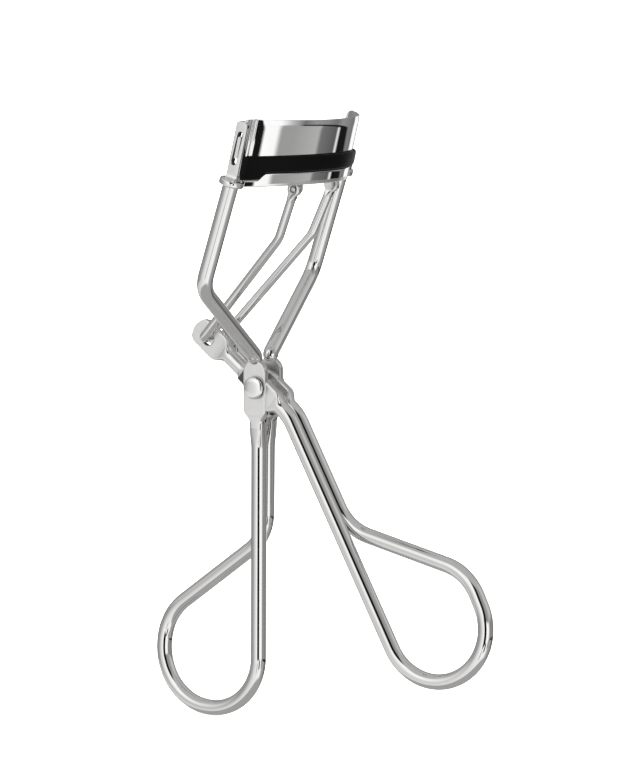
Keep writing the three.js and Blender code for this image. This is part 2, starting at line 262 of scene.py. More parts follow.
def between(first, second, share):
    """A section part of the way from the first to the second."""
    return Section(*(a + (b - a) * share for a, b in zip(first, second)))


def skin(rings, closed=False):
    """A bmesh through rings of points, capped at both ends unless the rings close on themselves."""
    bm = bmesh.new()
    rows = [[bm.verts.new(point) for point in ring] for ring in rings]
    following = rows[1:] + rows[:1] if closed else rows[1:]
    for row, after in zip(rows, following):
        for i in range(len(row)):
            j = (i + 1) % len(row)
            bm.faces.new((row[i], row[j], after[j], after[i]))
    if not closed:
        bm.faces.new(rows[0][::-1])
        bm.faces.new(rows[-1])
    bmesh.ops.recalc_face_normals(bm, faces=bm.faces)
    return bm


def circle(centre, radius, first=Y_AXIS, second=Z_AXIS, count=AROUND):
    """Points round a circle that starts along first and turns towards second."""
    ring = []
    for i in range(count):
        angle = 2 * math.pi * i / count
        ring.append(centre + (first * math.cos(angle) + second * math.sin(angle)) * radius)
    return ring


def signed_power(value, power):
    """The power of the value's size, with the value's sign."""
    return math.copysign(abs(value) ** power, value)


def section_ring(centre, side, up, section):
    """A superellipse: square 2 is a round wire, and a high value is flat with softly rounded edges."""
    power = 2 / section.square
    ring = []
    for i in range(AROUND):
        angle = 2 * math.pi * i / AROUND
        across = side * section.thick * signed_power(math.cos(angle), power)
        ring.append(centre + across + up * section.wide * signed_power(math.sin(angle), power))
    return ring


def straight(start, end):
    """Points after start up to and including end."""
    steps = max(1, math.ceil((end - start).length / STEP))
    return [start.lerp(end, i / steps) for i in range(1, steps + 1)]


def bent_path(corners):
    """Points along straight runs joined by round bends. A corner is (point, bend radius)."""
    points = [corners[0][0]]
    for (before, _), (corner, radius), (after, _) in zip(corners, corners[1:], corners[2:]):
        arriving = (corner - before).normalized()
        leaving = (after - corner).normalized()
        turn = arriving.angle(leaving)
        start = corner - arriving * radius * math.tan(turn / 2)
        inward = (leaving - arriving * leaving.dot(arriving)).normalized()
        points += straight(points[-1], start)
        steps = math.ceil(radius * turn / STEP)
        for i in range(1, steps + 1):
            angle = turn * i / steps
            forward = arriving * radius * math.sin(angle)
            points.append(start + forward + inward * radius * (1 - math.cos(angle)))
    return points + straight(points[-1], corners[-1][0])


def with_headings(points):
    """Each point of a path with the direction the path runs in there."""
    last = len(points) - 1
    for i, point in enumerate(points):
        yield point, (points[min(i + 1, last)] - points[max(i - 1, 0)]).normalized()


def square_to(heading, reference):
    """The direction nearest the reference that is square to the heading."""
    return (reference - heading * reference.dot(heading)).normalized()


def swept_wire(points, section_of):
    """A wire along points. Its thickness lies along X, and a section's shift moves it outward."""
    rings = []
    for point, heading in with_headings(points):
        side = square_to(heading, X_AXIS)
        section = section_of(point)
        outward = math.copysign(section.shift, point.x)
        rings.append(section_ring(point + X_AXIS * outward, side, heading.cross(side), section))
    return skin(rings)


def drill(centre, diameter, half_depth, flare):
    """A cutter along X whose rim widens by the flare on each face of a sheet."""
    radius = diameter / 2
    beyond = 3 * half_depth
    wide = radius + flare + 2 * half_depth
    straight_half = half_depth - flare
    rim = [(-beyond, wide), (-straight_half, radius), (straight_half, radius), (beyond, wide)]
    return skin([circle(centre + X_AXIS * x, size, count=AROUND_FINE) for x, size in rim])


def ray(distance, angle, x=0.0):
    """A point at a distance from the pivot, at an angle up from +Y."""
    return Vector((x, distance * math.cos(angle), distance * math.sin(angle)))


# ---------------------------------------------------------------- pieces


def mesh_object(name, bm):
    """A scene object made of the bmesh, which is used up."""
    mesh = bpy.data.meshes.new(name)
    bm.to_mesh(mesh)
    bm.free()
    thing = bpy.data.objects.new(name, mesh)
    bpy.context.scene.collection.objects.link(thing)
    return thing


def joined(name, added, removed=()):
    """One clean mesh: the first solid with the others joined to it and the cutters taken away."""
    whole = mesh_object(name, added[0])
    helpers = []
    for kind, solids in (("UNION", added[1:]), ("DIFFERENCE", removed)):
        for i, bm in enumerate(solids):
            helper = mesh_object(f"{name}_{kind}_{i}", bm)
            modifier = whole.modifiers.new(helper.name, "BOOLEAN")
            modifier.operation = kind
            modifier.solver = "EXACT"
            modifier.object = helper
            helpers.append(helper)
    if helpers:
        evaluated = whole.evaluated_get(bpy.context.evaluated_depsgraph_get())
        mesh = bpy.data.meshes.new_from_object(evaluated)
        whole.modifiers.clear()
        whole.data = mesh
    for helper in helpers:
        bpy.data.objects.remove(helper)
    return whole


def finish_piece(thing, node, body, materials, choose=None):
    """Moves a piece into the frame and gives it its materials, shading and body. Choose names each
    face's place in the list of materials.
    """
    mesh = thing.data
    mesh.materials.clear()
    for material in materials:
        mesh.materials.append(material)
    for polygon in mesh.polygons:
        polygon.use_smooth = True
        polygon.material_index = choose(polygon) if choose else 0
    mesh.set_sharp_from_angle(angle=SHARP)
    mesh.transform(Matrix.Translation(PIVOT) @ Matrix.Scale(MM, 4))
    weighted = thing.modifiers.new("flat_faces_first", "WEIGHTED_NORMAL")
    weighted.keep_sharp = True
    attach(thing, body)
    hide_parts(node)


# ---------------------------------------------------------------- fixed handle wire


def post_y(z):
    """Where the upper run of a post is at a height."""
    return POST_SHOULDER["y"] - (z - POST_SHOULDER["z"]) * math.tan(POST_LEAN)


def guide_y(z):
    """Where the flattened guide of a post is at a height."""
    return post_y(GUIDE["bottom"]) - (z - GUIDE["bottom"]) * math.tan(GUIDE_LEAN)


def post_section(point):
    """Blunt at the foot, round up to the end ring, then pressed flat into the slotted guide."""
    start = POST_FOOT["start"]
    end_cap = WIRE / 2
    if point.z < start + end_cap:
        least = 0.05  # the cap starts as a small flat
        rise = min(1, (point.z - start) / end_cap + least)
        size = WIRE / 2 * math.sqrt(1 - (1 - rise) ** 2)
        return Section(size, size, ROUND.square, 0)
    flat = Section(GUIDE["thickness"] / 2, GUIDE["width"] / 2, GUIDE["square"], 0)
    section = between(ROUND, flat, ease(point.z, GUIDE["start"], GUIDE["full"]))
    corner = GUIDE["corner"]
    over = point.z - (GUIDE["top"] - corner)
    if over > 0:
        drop = corner - math.sqrt(max(corner**2 - over**2, 0))
        section = section._replace(wide=section.wide - drop)
    return section


def post(side):
    """One post, from its foot at the pivot plate to the top of its guide."""
    shoulder = POST_SHOULDER
    foot = POST_FOOT
    top = GUIDE["top"]
    bottom = GUIDE["bottom"]
    corners = [
        (Vector((side * foot["x"], foot["y"], foot["start"])), 0),
        (Vector((side * foot["x"], foot["y"], foot["z"])), foot["radius"]),
        (Vector((side * POST_X, shoulder["y"], shoulder["z"])), shoulder["radius"]),
        (Vector((side * POST_X, post_y(bottom), bottom)), GUIDE["bend"]),
        (Vector((side * POST_X, guide_y(top), top)), 0),
    ]
    return swept_wire(bent_path(corners), post_section)


def legs_and_loop(loop, top, place):
    """Corners of two legs and their finger loop. Place turns (x, along, out) into a point."""
    shoulder = loop["fork"] + loop["slope"] * loop["width"]
    least_straight = 0.1  # between the two bends at the loop's end
    end_radius = loop["width"] / 2 - least_straight
    return [
        *top(-1),
        (place(-LEG_X, loop["reach"], 0), end_radius),
        (place(-LEG_X / 2, loop["reach"], loop["width"]), end_radius),
        (place(LEG_X / 2, shoulder, loop["width"]), loop["shoulder"]),
        (place(LEG_X, loop["fork"], 0), loop["fork_radius"]),
        *reversed(top(1)),
    ]


def fixed_leg_section(point):
    """Flat pivot plate at the top, narrowing through a shoulder to the round leg."""
    plate = PIVOT_PLATE
    half = plate["width"] / 2
    shift = plate["x"] - LEG_X
    flat = Section(plate["thickness"] / 2, half, plate["square"], shift)
    neck = Section(NECK["thickness"] / 2, WIRE / 2, NECK["square"], NECK["shift"])
    if point.z < plate["neck"]:
        return between(neck, ROUND, ease(point.z, plate["neck"], plate["neck"] - NECK["length"]))
    section = between(flat, neck, ease(point.z, plate["wide_low"], plate["neck"]))
    over = point.z - (plate["top"] - half)
    if over > 0:
        least = 0.3
        section = section._replace(wide=max(math.sqrt(half**2 - min(over, half) ** 2), least))
    return section


def fixed_legs():
    """Both pivot plates, both fixed legs and their finger loop, as one wire."""

    def place(x, along, out):
        return Vector((x, LEG_Y + out, -along))

    def top(side):
        start = Vector((side * LEG_X, PIVOT_PLATE["y"], PIVOT_PLATE["top"]))
        middle = Vector((side * LEG_X, PIVOT_PLATE["y"], PIVOT_PLATE["wide_low"]))
        return [(start, 0), (middle, PIVOT_PLATE["bend"])]

    return swept_wire(bent_path(legs_and_loop(FIXED_LOOP, top, place)), fixed_leg_section)


def slot_cutter(side):
    """A narrow slot with rounded ends that widen a little where the tab was staked."""
    low = Vector((side * POST_X, guide_y(SLOT["bottom"]), SLOT["bottom"] + SLOT["width"] / 2))
    high = Vector((side * POST_X, guide_y(SLOT["top"]), SLOT["top"] - SLOT["width"] / 2))
    heading = (high - low).normalized()
    across = heading.cross(X_AXIS)
    face = GUIDE["thickness"] / 2
    inside = face - SLOT["flare"]
    wide = SLOT["flare"] + face
    rings = []
    for x, flare in ((-2 * face, wide), (-inside, 0), (inside, 0), (2 * face, wide)):
        radius = SLOT["width"] / 2 + flare
        ring = []
        for i in range(AROUND):
            angle = 2 * math.pi * i / AROUND
            end = high if math.cos(angle) > 0 else low
            spoke = heading * math.cos(angle) + across * math.sin(angle)
            ring.append(end + spoke * radius + X_AXIS * x)
        rings.append(ring)
    return skin(rings)


def rivet_hole():
    """A cutter through both pivot plates."""
    radius = RIVET["shank"] / 2 + SEAT
    reach = PIVOT_PLATE["x"] + PIVOT_PLATE["thickness"]
    return skin([circle(X_AXIS * x, radius) for x in (-reach, reach)])


def frame_finish(polygon):
    """Satin on the pressed faces of the pivot plates and guides, painted shade on the slot walls, plated
    elsewhere.
    """
    _, y, z = polygon.center
    facing_x = abs(polygon.normal.x)
    margin = SLOT["flare"] + 0.05
    within_ends = SLOT["bottom"] - margin < z < SLOT["top"] + margin
    within_sides = abs(y - guide_y(z)) < SLOT["width"] / 2 + margin
    is_wall = facing_x < 0.9
    # The slot walls get painted shade.
    if within_ends and within_sides and is_wall:
        return SHADED
    at_plate = PIVOT_PLATE["neck"] - 1 < z < PIVOT_PLATE["top"]
    at_guide = z > GUIDE["full"] - 0.3
    return SATIN if facing_x > PRESSED_FACE and (at_plate or at_guide) else PLATED


def frame_wire():
    """The fixed handle: two posts, two pivot plates, two legs and a finger loop."""
    cuts = [rivet_hole(), *(slot_cutter(side) for side in SIDES)]
    thing = joined("curler_frame_wire", [fixed_legs(), *(post(side) for side in SIDES)], cuts)
    finish_piece(thing, "frame_wire", "frame", [CHROME_WIRE, PRESSED, PAINTED_SHADE], frame_finish)


# ---------------------------------------------------------------- rivet


def dome_profile():
    """(radius, height) from the middle of the shank to the crown of one head."""
    face = PIVOT_PLATE["x"] + PIVOT_PLATE["thickness"] / 2 + HAIR
    shank = RIVET["shank"] / 2
    head = RIVET["head"] / 2
    edge = RIVET["edge"]
    profile = [(shank, 0), (shank, face), (head - edge, face), (head, face + edge)]
    wall_top = face + RIVET["rim"]
    steps = 14
    for i in range(steps + 1):
        angle = math.pi / 2 * i / steps
        radius = max(head * math.cos(angle) ** RIVET["fullness"], HAIR)
        profile.append((radius, wall_top + (RIVET["crown"] - wall_top) * math.sin(angle)))
    return profile


def rivet_finish(polygon):
    """Painted shade on the wall of each head, bright rivet steel on its dome and on the shank."""
    # The wall of each head gets painted shade.
    from_axis = math.hypot(polygon.center.y, polygon.center.z)
    on_wall = abs(polygon.normal.x) < 0.3
    return int(on_wall and from_axis > RIVET["shank"] / 2 + SEAT)


def pivot_rivet():
    """A shank with the same domed head at both ends."""
    half = dome_profile()[1:]
    profile = [(radius, -height) for radius, height in reversed(half)] + half
    thing = joined("curler_pivot_rivet", [skin([circle(X_AXIS * x, radius) for radius, x in profile])])
    finish_piece(thing, "pivot_rivet", "frame", [RIVET_STEEL, PAINTED_SHADE], rivet_finish)


# ---------------------------------------------------------------- moving handle


def eye_section(along):
    """The flattened end of a lever, with rounded corners at its tip."""
    corner = EYE["corner"]
    over = along - (EYE["end"] - corner)
    wide = EYE["width"] / 2
    if over > 0:
        wide -= corner - math.sqrt(max(corner**2 - over**2, 0))
    return Section(EYE["thickness"] / 2, wide, EYE["square"], EYE["x"] - LEG_X)


def along_lever(y, z):
    """The distance of a point along the lever from the pivot, negative on the leg's side."""
    return y * math.cos(LEVER_ANGLE) + z * math.sin(LEVER_ANGLE)


def lever_section(point):
    """Keyed by the distance along the lever: eye, shoulder, round arm, blade, then the round leg."""
    along = along_lever(point.y, point.z)
    middle_gap = 0.03  # between the two blades, on each side of the middle plane
    shift = BLADE["thickness"] / 2 + middle_gap - LEG_X
    taper = ease(along, BLADE["taper_from"], BLADE["taper_to"])
    wide = BLADE["width"] / 2 - BLADE["taper"] * taper
    blade = Section(BLADE["thickness"] / 2, wide, BLADE["square"], shift)
    if along > EYE["shoulder_from"]:
        return between(ROUND, eye_section(along), ease(along, EYE["shoulder_from"], EYE["shoulder_to"]))
    if along > 0:
        return between(blade, ROUND, ease(along, BLADE["arm_from"], BLADE["arm_to"]))
    return between(blade, ROUND, ease(along, BLADE["leg_from"], BLADE["leg_to"]))


def moving_wire():
    """Both levers, both moving legs and their finger loop, as one wire."""
    sine, cosine = math.sin(MOVING_LEG["angle"]), math.cos(MOVING_LEG["angle"])
    down = Vector((0, -sine, -cosine))
    out = Vector((0, -cosine, sine))
    foot = out * MOVING_LEG["offset"]
    knee_distance = MOVING_LEG["offset"] / ray(-1, LEVER_ANGLE).dot(out)

    def place(x, along, outward):
        return Vector((x, 0, 0)) + foot + down * along + out * outward

    def top(side):
        return [
            (ray(EYE["end"], LEVER_ANGLE, side * LEG_X), 0),
            (ray(-knee_distance, LEVER_ANGLE, side * LEG_X), MOVING_LEG["bend"]),
        ]

    return swept_wire(bent_path(legs_and_loop(MOVING_LOOP, top, place)), lever_section)


def eye_drill(side):
    """A cutter for the hole in one lever's eye."""
    centre = ray(EYE["distance"], LEVER_ANGLE, side * EYE["x"])
    return drill(centre, EYE["hole"], EYE["thickness"] / 2, EYE["flare"])


def handle_finish(polygon):
    """Satin on the pressed faces, painted shade inside the eyes and in the step up to the arm, plated
    elsewhere.
    """
    _, y, z = polygon.center
    along = along_lever(y, z)
    facing_x = abs(polygon.normal.x)
    from_eye = (Vector((0, y, z)) - ray(EYE["distance"], LEVER_ANGLE)).length
    in_eye = from_eye < EYE["hole"] / 2 + 2 * HAIR
    in_step = BLADE["shade_from"] < along < BLADE["shade_to"] and facing_x > 0.5
    # Painted shade inside the eyes and on the step up to the arm.
    if in_eye or in_step:
        return SHADED
    on_eye = along > EYE["satin_from"]
    on_blade = BLADE["satin_from"] < along < BLADE["satin_to"]
    return SATIN if facing_x > PRESSED_FACE and (on_eye or on_blade) else PLATED


def moving_handle():
    """The moving handle: two levers with drilled eyes, two legs and a finger loop."""
    cuts = [eye_drill(side) for side in SIDES]
    thing = joined("curler_moving_handle", [moving_wire()], cuts)
    finishes = [CHROME_WIRE, PRESSED, PAINTED_SHADE]
    finish_piece(thing, "moving_handle", "handle", finishes, handle_finish)


# ---------------------------------------------------------------- jaws


def jaw_axis_y(z):
    """The axis of the jaws' arcs leans with the guides and brings the plate's tabs to the slots."""
    limit = math.radians(UPPER["angle"])
    middle = UPPER["radius"] - UPPER["sheet"] / 2
    return guide_y(z) - UPPER["fold"] + (middle + UPPER["fold"]) * math.cos(limit)


def jaw_line(radius, degrees, fold=0.0, end_x=0.0):
    """Stations (x, y, normal x, normal y, angle, share of the fold) from the -X end to the +X end."""
    limit = math.radians(degrees)
    steps = 60
    half = []
    for i in range(steps + 1):
        angle = limit * i / steps
        across, front = math.sin(angle), -math.cos(angle)
        half.append((radius * across, radius * front, across, front, math.degrees(angle), 0))
    if fold:
        centre_x = (radius + fold) * math.sin(limit)
        centre_y = -(radius + fold) * math.cos(limit)
        turns = 40
        for i in range(1, turns + 1):
            angle = limit * (1 - i / turns)
            x = centre_x - fold * math.sin(angle)
            y = centre_y + fold * math.cos(angle)
            if x < end_x:
                half.append((x, y, math.sin(angle), -math.cos(angle), degrees, i / turns))
        half.append((end_x, half[-1][1], 0, -1, degrees, 1))
    mirrored = [(-x, y, -nx, ny, angle, share) for x, y, nx, ny, angle, share in half[1:]]
    return mirrored[::-1] + half


def rounded_rectangle(near, far, low, high, corner, rows=()):
    """Points (across, height) round a rectangle. Rows are more heights on both walls, from the top down."""
    points = []
    for centre_across, centre_height, start in (
        (far - corner, high - corner, 0),
        (near + corner, high - corner, 90),
        (near + corner, low + corner, 180),
        (far - corner, low + corner, 270),
    ):
        if start == 180:
            points += [(near, height) for height in rows]
        for i in range(CORNER_STEPS + 1):
            angle = math.radians(start + 90 * i / CORNER_STEPS)
            across = centre_across + corner * math.cos(angle)
            points.append((across, centre_height + corner * math.sin(angle)))
    return points + [(far, height) for height in reversed(rows)]


def band_ring(station, inner, outer, low, high, corner, curl=0.0):
    """A rounded rectangle across a sheet, whose top may curl back. Inner and outer lie along the normal."""
    x, y, normal_x, normal_y = station[:4]
    corner = min(corner, (outer - inner) / 2.05, (high - low) / 2.05)  # leaves a little flat between
    least_wall = 0.1
    drop = min(CURL["height"], high - low - 2 * corner - least_wall)
    steps = 8
    rows = [high - corner - drop * i / steps for i in range(1, steps + 1)]
    ring = []
    for out, z in rounded_rectangle(inner, outer, low, high, corner, rows):
        out -= curl * max(0, (z - high + drop) / drop) ** 2
        ring.append(Vector((x + normal_x * out, jaw_axis_y(z) + y + normal_y * out, z)))
    return ring


def plate_top(angle):
    """The top edge of the plate, which rises a little towards its ends."""
    return UPPER_TOP["middle"] + UPPER_TOP["rise"] * (angle / UPPER["angle"]) ** 2


def plate_curl(angle):
    """How far the top edge curls back, which fades out before the fold."""
    return CURL["depth"] * (1 - ease(angle, CURL["fade_from"], CURL["fade_to"]))


def plate_crimp(share):
    """Small upright ripples where the sheet was folded."""
    if share < CRIMP["start"]:
        return 0
    along = (share - CRIMP["start"]) / (1 - CRIMP["start"])
    return CRIMP["depth"] * (math.cos(2 * math.pi * CRIMP["waves"] * along) - 1)


def plate_finish(polygon):
    """Satin where the ends of the tabs were staked over, plated elsewhere."""
    return int(abs(polygon.center.x) > POST_X)


def upper_jaw_plate():
    """The curved plate, folded out at both ends, with a tab through the slot of each post."""
    half = UPPER["sheet"] / 2
    tab_start = POST_X - GUIDE["thickness"] / 2 - SEAT
    tab_end = POST_X + GUIDE["thickness"] / 2 - TAB["inset"]
    line = jaw_line(UPPER["radius"] - half, UPPER["angle"], UPPER["fold"], tab_start)
    low = UPPER["bottom"]
    rings = []
    for station in line:
        angle, share = station[4:]
        outer = half + plate_crimp(share)
        top, curl = plate_top(angle), plate_curl(angle)
        rings.append(band_ring(station, -half, outer, low, top, UPPER["edge"], curl))
    for side, station in ((-1, line[0]), (1, line[-1])):
        inner = TAB["relief"] - half
        tab = [
            band_ring((side * x, *station[1:]), inner, half, TAB["bottom"], TAB["top"], TAB["edge"])
            for x in (tab_start, tab_end)
        ]
        if side < 0:
            rings = tab[::-1] + rings
        else:
            rings += tab
    thing = joined("curler_upper_jaw_plate", [skin(rings)])
    finish_piece(thing, "upper_jaw_plate", "frame", [CHROME_SHEET, PRESSED], plate_finish)


def strip_top(angle):
    """The top edge of the strip, which drops in the notch at each end."""
    return LOWER["top"] + (NOTCH["top"] - LOWER["top"]) * ease(angle, NOTCH["start"], NOTCH["end"])


def front_strip():
    """The outer wall of the channel, notched at each end and folded out to the end rings."""
    half = LOWER["sheet"] / 2
    line = jaw_line(LOWER["radius"] - half, STRIP_END["angle"], STRIP_END["fold"], POST_X)
    rings = []
    for station in line:
        angle = station[4]
        bottom = LOWER["bottom"] + LOWER["arch"] * (1 - (angle / STRIP_END["angle"]) ** 2)
        rings.append(band_ring(station, -half, half, bottom, strip_top(angle), LOWER["edge"]))
    return skin(rings)


def channel():
    """The floor and the inner wall, which hold the foot of the pad."""
    inner, sheet, floor = LOWER["inner"], LOWER["sheet"], LOWER["floor"]
    outer = LOWER["radius"] - sheet / 2
    outline = [
        (inner, floor),
        (outer, floor),
        (outer, floor + sheet),
        (inner + sheet, floor + sheet),
        (inner + sheet, LOWER["top"]),
        (inner, LOWER["top"]),
    ]
    rings = []
    for x, y, *_ in jaw_line(1, LOWER["angle"]):
        rings.append([Vector((x * radius, jaw_axis_y(z) + y * radius, z)) for radius, z in outline])
    return skin(rings)


def circle_on_post(side, radius, height):
    """Points round a post, at a height along it from the middle of its end ring."""
    axis = Vector((0, -math.sin(POST_LEAN), math.cos(POST_LEAN)))
    centre = Vector((side * POST_X, post_y(RING["z"]), RING["z"]))
    return circle(centre + axis * height, radius, X_AXIS, axis.cross(X_AXIS), AROUND_FINE)


def end_ring(side):
    """A closed ring round a post, with a rounded section."""
    bore, wall, half = RING["bore"] / 2, RING["wall"], RING["height"] / 2
    nearly_half = 0.48
    profile = rounded_rectangle(bore, bore + wall, -half, half, wall * nearly_half)
    return skin([circle_on_post(side, radius, height) for radius, height in profile], closed=True)


def round_space(side, radius, half_height):
    """A cutter round a post, at the height of its end ring."""
    return skin([circle_on_post(side, radius, height) for height in (-half_height, half_height)])


def lug(side):
    """A cheek under the channel and the stub pin that the push rod's eyelet turns on."""
    outer = LUG["x"] - EYELET["thickness"] / 2 - LUG["gap"]
    inner = outer - LUG["sheet"]
    top = LOWER["floor"] + LOWER["sheet"] / 2
    half = LUG["width"] / 2
    outline = []
    steps = 12
    for i in range(steps + 1):
        angle = math.pi + math.pi * i / steps
        outline.append((ROD_HINGE.y + half * math.cos(angle), ROD_HINGE.z + half * math.sin(angle)))
    outline += [(ROD_HINGE.y + half, top), (ROD_HINGE.y - half, top)]
    cheek = skin([[Vector((side * x, y, z)) for y, z in outline] for x in (inner, outer)])
    root = inner + LUG["pin_out"]
    end = LUG["x"] + EYELET["thickness"] / 2 + LUG["pin_out"]
    pin, chamfer = LUG["pin"] / 2, LUG["chamfer"]
    profile = ((root, pin), (end - chamfer, pin), (end, pin - chamfer))
    stub = skin([circle(ROD_HINGE + X_AXIS * side * x, radius) for x, radius in profile])
    return [cheek, stub]


def jaw_finish(polygon):
    """Satin on the cheeks and stub pins under the channel, plated elsewhere."""
    under = polygon.center.z < LOWER["floor"] - 0.05
    return int(under and abs(polygon.center.x) < LUG["x"] + EYELET["thickness"])


def lower_jaw():
    """The channel, its strip, the end rings and the lugs, bored to slide on the posts."""
    added = [front_strip(), channel(), *(end_ring(side) for side in SIDES)]
    for side in SIDES:
        added += lug(side)
    through = 3
    cuts = [round_space(side, RING["bore"] / 2 + HAIR, through) for side in SIDES]
    thing = joined("curler_lower_jaw", added, cuts)
    finish_piece(thing, "lower_jaw", "sliding_jaw", [CHROME_SHEET, PRESSED], jaw_finish)


def pad_outline(shoulder):
    """The pad's section about the jaw axis, as (radius, height), with the head resting on the strip.
    A few points, given as steps in from the two faces, round each corner of the head.
    """
    foot_low = LOWER["floor"] + LOWER["sheet"] + SEAT
    top = PLATE_LOW.z - PAD["top_gap"]
    inner, outer = PAD["inner"], PAD["outer"]
    return [
        (PAD["foot_outer"], foot_low),
        (PAD["foot_outer"], shoulder),
        (outer - 0.45, shoulder + 0.02),
        (outer - 0.12, shoulder + 0.25),
        (outer, shoulder + 0.8),
        (outer, top - 0.8),
        (outer - 0.08, top - 0.28),
        (outer - 0.3, top - 0.07),
        (outer - 0.62, top),
        (inner + 0.7, top),
        (inner + 0.15, top - 0.2),
        (inner, top - 0.7),
        (inner, foot_low),
    ]


def lash_pad():
    """The pad follows the jaws' arc. Its ends slant further round at the back, between the posts."""
    outer_end = math.degrees(math.asin(PAD["half_length"] / PAD["outer"]))
    rings = []
    for x, _, _, _, angle, _ in jaw_line(1, outer_end):
        near_end = (angle / outer_end) ** 6  # 0 along most of the pad and 1 at its ends
        ring = []
        for radius, z in pad_outline(strip_top(angle) + SEAT):
            slant = PAD["slant"] * (PAD["outer"] - radius) / (PAD["outer"] - PAD["inner"])
            turned = math.copysign(math.radians(angle + slant * near_end), x)
            ring.append(Vector((radius * math.sin(turned), jaw_axis_y(z) - radius * math.cos(turned), z)))
        rings.append(ring)
    ring_radius = RING["bore"] / 2 + RING["wall"]
    room = [round_space(side, ring_radius + SEAT, RING["height"] / 2 + SEAT) for side in SIDES]
    thing = joined("curler_lash_pad", [skin(rings)], room)
    finish_piece(thing, "lash_pad", "sliding_jaw", [RUBBER])


# ---------------------------------------------------------------- push rod


def rod_section(point):
    """A flat eyelet at the hinge, a neck, then the round rod. Both halves are alike."""
    mirrored = Vector((abs(point.x), point.y, point.z))
    hinge = ROD_HINGE + X_AXIS * LUG["x"]
    along = (mirrored - hinge).dot((ROD_BEND - hinge).normalized())
    rod = Section(ROD / 2, ROD / 2, ROUND.square, 0)
    radius = EYELET["diameter"] / 2
    flat_until, round_from = radius * 0.7, radius * 1.6
    if along > round_from:
        return rod
    least = 0.05
    disc = math.sqrt(max(radius**2 - min(abs(along), radius) ** 2, least))
    neck = ROD / 2 * ease(along, 0, radius)
    flat = Section(EYELET["thickness"] / 2, max(disc, neck), EYELET["square"], 0)
    return between(flat, rod, ease(along, flat_until, round_from))


def push_rod():
    """Two rods from the eyelets down to one cross bar, as a single wire."""
    radius = EYELET["diameter"] / 2
    square_to_rods = Vector((0, ROD_BEND.z - CROSS_BAR.z, CROSS_BAR.y - ROD_BEND.y)).normalized()

    def half(side):
        hinge = ROD_HINGE + X_AXIS * side * LUG["x"]
        bend = Vector((side * ROD_BEND.x, ROD_BEND.y, ROD_BEND.z))
        bar = Vector((side * CROSS_BAR.x, CROSS_BAR.y, CROSS_BAR.z))
        start = hinge - (bend - hinge).normalized() * (radius - HAIR)
        return [(start, 0), (bend, ROD_BEND_RADIUS), (bar, CROSS_BAR_RADIUS)]

    rings = []
    for point, heading in with_headings(bent_path([*half(-1), *reversed(half(1))])):
        up = square_to(heading, square_to_rods)
        rings.append(section_ring(point, up.cross(heading), up, rod_section(point)))
    holes = [
        drill(ROD_HINGE + X_AXIS * side * LUG["x"], EYELET["hole"], EYELET["thickness"] / 2, EYELET["flare"])
        for side in SIDES
    ]
    thing = joined("curler_push_rod", [skin(rings)], holes)
    finish_piece(thing, "push_rod", "push_rod", [CHROME_WIRE])


# ---------------------------------------------------------------- materials


def add_node(tree, kind, **values):
    """A new shader node with the given settings."""
    node = tree.nodes.new(kind)
    for name, value in values.items():
        setattr(node, name, value)
    return node


def feed(tree, socket, value):
    """Links another node's output to a socket, or gives the socket a plain value."""
    if isinstance(value, bpy.types.NodeSocket):
        tree.links.new(value, socket)
    else:
        socket.default_value = value


def math_node(tree, operation, *values):
    """The result of an operation on values, each a number or another node's output."""
    node = add_node(tree, "ShaderNodeMath", operation=operation)
    for socket, value in zip(node.inputs, values):
        feed(tree, socket, value)
    return node.outputs[0]


def mixed(tree, factor, first, second):
    """A colour that is the first at factor 0 and the second at factor 1."""
    node = add_node(tree, "ShaderNodeMix", data_type="RGBA")
    for name, value in (("Factor", factor), ("A", first), ("B", second)):
        feed(tree, node.inputs[name], value)
    return node.outputs["Result"]


def mapped(tree, value, source, target=(0, 1), kind="LINEAR"):
    """The value carried from the source range to the target range, and held inside it."""
    node = add_node(tree, "ShaderNodeMapRange", interpolation_type=kind)
    for name, end in zip(("From Min", "From Max", "To Min", "To Max"), (*source, *target)):
        node.inputs[name].default_value = end
    tree.links.new(value, node.inputs["Value"])
    return node.outputs["Result"]


def noise(tree, scale, detail):
    """Noise in the object's own space, in waves per metre."""
    place = add_node(tree, "ShaderNodeTexCoord")
    texture = add_node(tree, "ShaderNodeTexNoise")
    texture.inputs["Scale"].default_value = scale
    texture.inputs["Detail"].default_value = detail
    tree.links.new(place.outputs["Object"], texture.inputs["Vector"])
    return texture.outputs["Fac"]


def material(name, dark, light, rough, grain, bump, metallic=1.0, shine=0.5):
    """Colour wanders from dark to light in broad clouds, roughness over a range in finer smears, and a
    slight bump lies over both at the grain itself. Grain is in waves per metre.
    """
    made = bpy.data.materials.new(name)
    made.use_nodes = True
    tree = made.node_tree
    shader = tree.nodes["Principled BSDF"]
    shader.inputs["Metallic"].default_value = metallic
    shader.inputs["Specular IOR Level"].default_value = shine
    clouds = noise(tree, grain / 12, 3)
    tree.links.new(mixed(tree, clouds, (*dark, 1), (*light, 1)), shader.inputs["Base Color"])
    smears = noise(tree, grain / 5, 5)
    middle_of_noise = (0.3, 0.7)
    tree.links.new(mapped(tree, smears, middle_of_noise, rough), shader.inputs["Roughness"])
    relief = add_node(tree, "ShaderNodeBump")
    relief.inputs["Strength"].default_value = bump
    relief.inputs["Distance"].default_value = 0.02 * MM
    tree.links.new(noise(tree, grain, 4), relief.inputs["Height"])
    tree.links.new(relief.outputs["Normal"], shader.inputs["Normal"])
    return made


